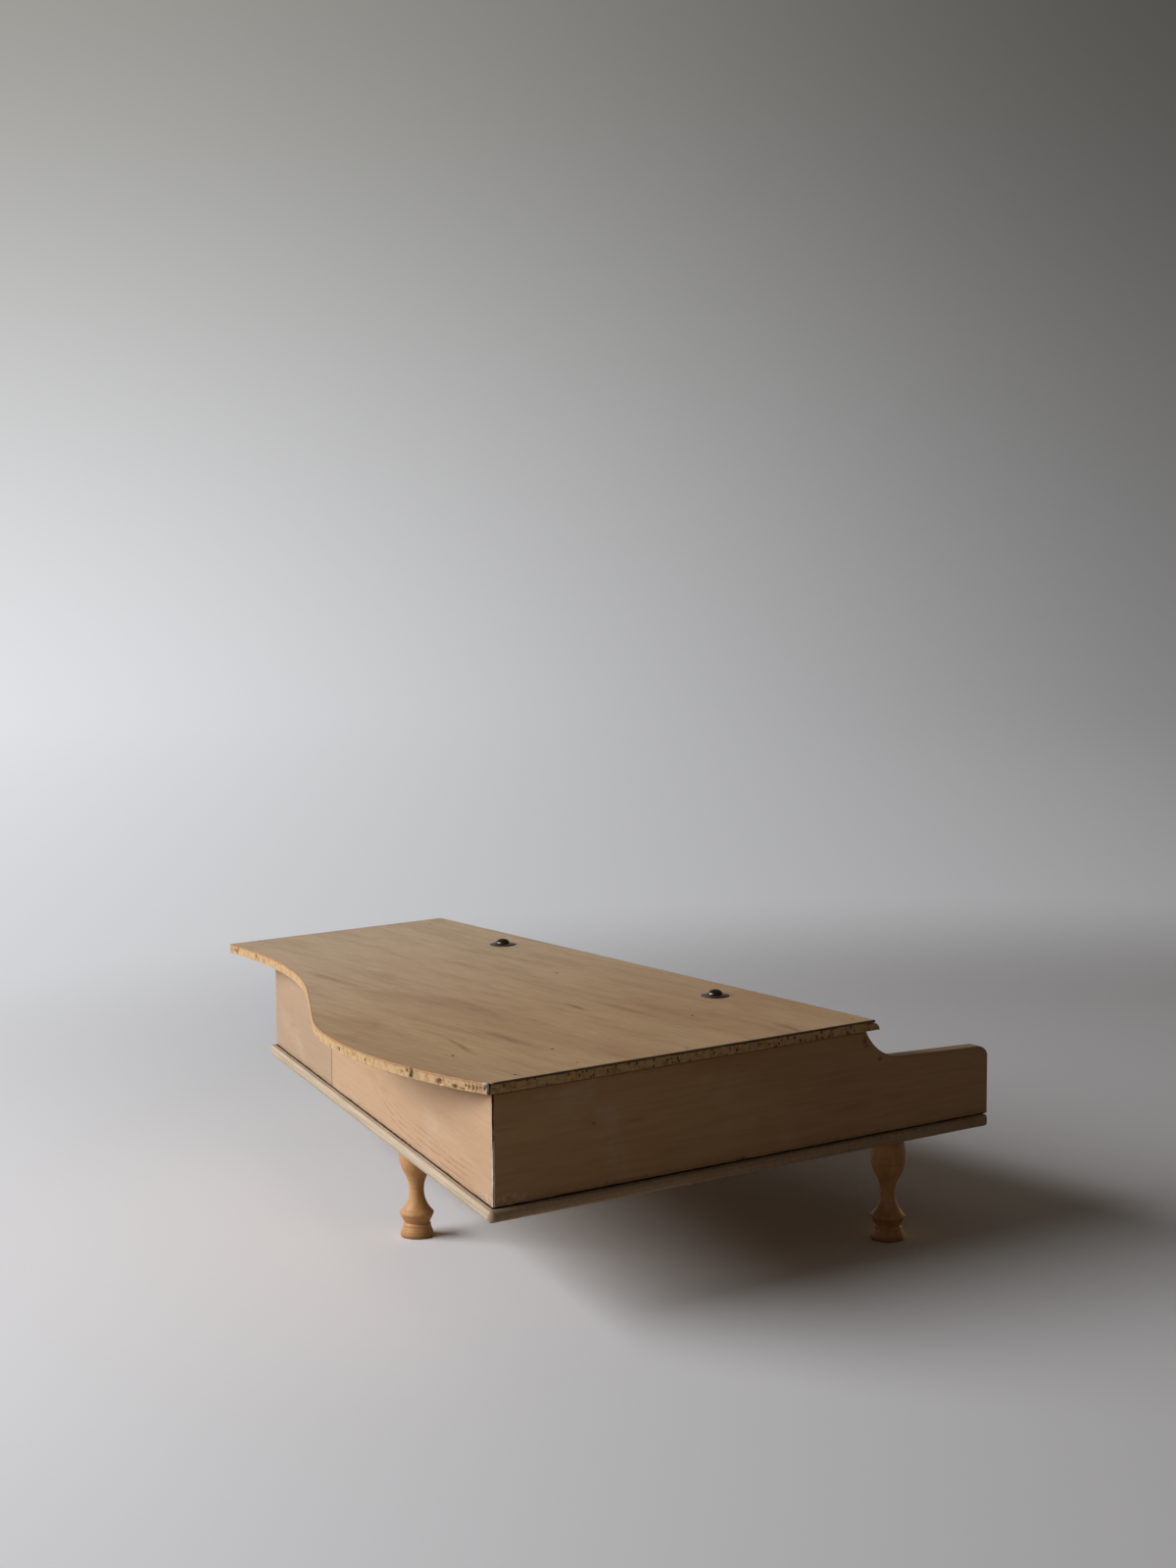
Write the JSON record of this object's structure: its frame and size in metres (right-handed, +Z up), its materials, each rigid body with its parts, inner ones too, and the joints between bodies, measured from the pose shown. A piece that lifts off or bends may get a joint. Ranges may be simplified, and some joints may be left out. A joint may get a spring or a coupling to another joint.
{
  "type": "toy piano",
  "caption": "Small wooden toy grand piano on turned legs, with a curved fixed lid, working keys on a fulcrum wire and sprung hammers that strike tone rods.",
  "frame": {"origin": "under the middle of the piano's outline, at floor level", "axes": "+X to the treble side (the player's right), +Y from the keyboard to the tail, +Z up"},
  "size_m": [0.3728, 0.3054, 0.1162],
  "materials": {
    "base_wood": "bare, sanded",
    "lid_wood": "bare plywood, worn",
    "case_wood": "bare, stripped",
    "leg_wood": "turned, worn varnish",
    "rail_wood": "sawn",
    "white_key": "painted",
    "black_key": "painted",
    "felt": "felt",
    "steel": "drawn",
    "cast_metal": "as cast",
    "bronze": "darkened"
  },
  "bodies": {
    "case": {"base_board": "base_wood", "lid": "lid_wood", "bass_wall": "case_wood", "treble_wall": "case_wood", "rear_wall_long": "case_wood", "rear_wall_short": "case_wood", "seam_cleat": "rail_wood", "fallboard": "case_wood", "key_slip": "case_wood", "key_block_bass": "case_wood", "key_block_treble": "case_wood", "front_rail": "rail_wood", "balance_rail": "rail_wood", "guide_rail": "rail_wood", "back_rail": "rail_wood", "front_felt": "felt", "back_felt": "felt", "fulcrum_wire": "steel", "guide_pins": "steel", "tone_rods": "steel", "tone_block": "cast_metal", "lid_bolts": "bronze", "cup_washers": "bronze", "leg_front_bass": "leg_wood", "leg_front_treble": "leg_wood", "leg_rear": "leg_wood"},
    "key_white_01": {"key_white_01": "white_key"},
    "key_white_02": {"key_white_02": "white_key"},
    "key_white_03": {"key_white_03": "white_key"},
    "key_white_04": {"key_white_04": "white_key"},
    "key_white_05": {"key_white_05": "white_key"},
    "key_white_06": {"key_white_06": "white_key"},
    "key_white_07": {"key_white_07": "white_key"},
    "key_white_08": {"key_white_08": "white_key"},
    "key_white_09": {"key_white_09": "white_key"},
    "key_white_10": {"key_white_10": "white_key"},
    "key_white_11": {"key_white_11": "white_key"},
    "key_white_12": {"key_white_12": "white_key"},
    "key_white_13": {"key_white_13": "white_key"},
    "key_white_14": {"key_white_14": "white_key"},
    "key_white_15": {"key_white_15": "white_key"},
    "key_black_01": {"key_black_01": "black_key"},
    "key_black_02": {"key_black_02": "black_key"},
    "key_black_03": {"key_black_03": "black_key"},
    "key_black_04": {"key_black_04": "black_key"},
    "key_black_05": {"key_black_05": "black_key"},
    "key_black_06": {"key_black_06": "black_key"},
    "key_black_07": {"key_black_07": "black_key"},
    "key_black_08": {"key_black_08": "black_key"},
    "key_black_09": {"key_black_09": "black_key"},
    "key_black_10": {"key_black_10": "black_key"}
  },
  "joints": [
    {"name": "key_white_01_press", "type": "hinge", "parent": "case", "child": "key_white_01", "pos_m": [0, -0.0867, 0.0673], "axis": [1, 0, 0], "range_deg": [0, 5.5]},
    {"name": "key_white_02_press", "type": "hinge", "parent": "case", "child": "key_white_02", "pos_m": [0, -0.0867, 0.0673], "axis": [1, 0, 0], "range_deg": [0, 5.5]},
    {"name": "key_white_03_press", "type": "hinge", "parent": "case", "child": "key_white_03", "pos_m": [0, -0.0867, 0.0673], "axis": [1, 0, 0], "range_deg": [0, 5.5]},
    {"name": "key_white_04_press", "type": "hinge", "parent": "case", "child": "key_white_04", "pos_m": [0, -0.0867, 0.0673], "axis": [1, 0, 0], "range_deg": [0, 5.5]},
    {"name": "key_white_05_press", "type": "hinge", "parent": "case", "child": "key_white_05", "pos_m": [0, -0.0867, 0.0673], "axis": [1, 0, 0], "range_deg": [0, 5.5]},
    {"name": "key_white_06_press", "type": "hinge", "parent": "case", "child": "key_white_06", "pos_m": [0, -0.0867, 0.0673], "axis": [1, 0, 0], "range_deg": [0, 5.5]},
    {"name": "key_white_07_press", "type": "hinge", "parent": "case", "child": "key_white_07", "pos_m": [0, -0.0867, 0.0673], "axis": [1, 0, 0], "range_deg": [0, 5.5]},
    {"name": "key_white_08_press", "type": "hinge", "parent": "case", "child": "key_white_08", "pos_m": [0, -0.0867, 0.0673], "axis": [1, 0, 0], "range_deg": [0, 5.5]},
    {"name": "key_white_09_press", "type": "hinge", "parent": "case", "child": "key_white_09", "pos_m": [0, -0.0867, 0.0673], "axis": [1, 0, 0], "range_deg": [0, 5.5]},
    {"name": "key_white_10_press", "type": "hinge", "parent": "case", "child": "key_white_10", "pos_m": [0, -0.0867, 0.0673], "axis": [1, 0, 0], "range_deg": [0, 5.5]},
    {"name": "key_white_11_press", "type": "hinge", "parent": "case", "child": "key_white_11", "pos_m": [0, -0.0867, 0.0673], "axis": [1, 0, 0], "range_deg": [0, 5.5]},
    {"name": "key_white_12_press", "type": "hinge", "parent": "case", "child": "key_white_12", "pos_m": [0, -0.0867, 0.0673], "axis": [1, 0, 0], "range_deg": [0, 5.5]},
    {"name": "key_white_13_press", "type": "hinge", "parent": "case", "child": "key_white_13", "pos_m": [0, -0.0867, 0.0673], "axis": [1, 0, 0], "range_deg": [0, 5.5]},
    {"name": "key_white_14_press", "type": "hinge", "parent": "case", "child": "key_white_14", "pos_m": [0, -0.0867, 0.0673], "axis": [1, 0, 0], "range_deg": [0, 5.5]},
    {"name": "key_white_15_press", "type": "hinge", "parent": "case", "child": "key_white_15", "pos_m": [0, -0.0867, 0.0673], "axis": [1, 0, 0], "range_deg": [0, 5.5]},
    {"name": "key_black_01_press", "type": "hinge", "parent": "case", "child": "key_black_01", "pos_m": [0, -0.0867, 0.0673], "axis": [1, 0, 0], "range_deg": [0, 5.5]},
    {"name": "key_black_02_press", "type": "hinge", "parent": "case", "child": "key_black_02", "pos_m": [0, -0.0867, 0.0673], "axis": [1, 0, 0], "range_deg": [0, 5.5]},
    {"name": "key_black_03_press", "type": "hinge", "parent": "case", "child": "key_black_03", "pos_m": [0, -0.0867, 0.0673], "axis": [1, 0, 0], "range_deg": [0, 5.5]},
    {"name": "key_black_04_press", "type": "hinge", "parent": "case", "child": "key_black_04", "pos_m": [0, -0.0867, 0.0673], "axis": [1, 0, 0], "range_deg": [0, 5.5]},
    {"name": "key_black_05_press", "type": "hinge", "parent": "case", "child": "key_black_05", "pos_m": [0, -0.0867, 0.0673], "axis": [1, 0, 0], "range_deg": [0, 5.5]},
    {"name": "key_black_06_press", "type": "hinge", "parent": "case", "child": "key_black_06", "pos_m": [0, -0.0867, 0.0673], "axis": [1, 0, 0], "range_deg": [0, 5.5]},
    {"name": "key_black_07_press", "type": "hinge", "parent": "case", "child": "key_black_07", "pos_m": [0, -0.0867, 0.0673], "axis": [1, 0, 0], "range_deg": [0, 5.5]},
    {"name": "key_black_08_press", "type": "hinge", "parent": "case", "child": "key_black_08", "pos_m": [0, -0.0867, 0.0673], "axis": [1, 0, 0], "range_deg": [0, 5.5]},
    {"name": "key_black_09_press", "type": "hinge", "parent": "case", "child": "key_black_09", "pos_m": [0, -0.0867, 0.0673], "axis": [1, 0, 0], "range_deg": [0, 5.5]},
    {"name": "key_black_10_press", "type": "hinge", "parent": "case", "child": "key_black_10", "pos_m": [0, -0.0867, 0.0673], "axis": [1, 0, 0], "range_deg": [0, 5.5]}
  ]
}
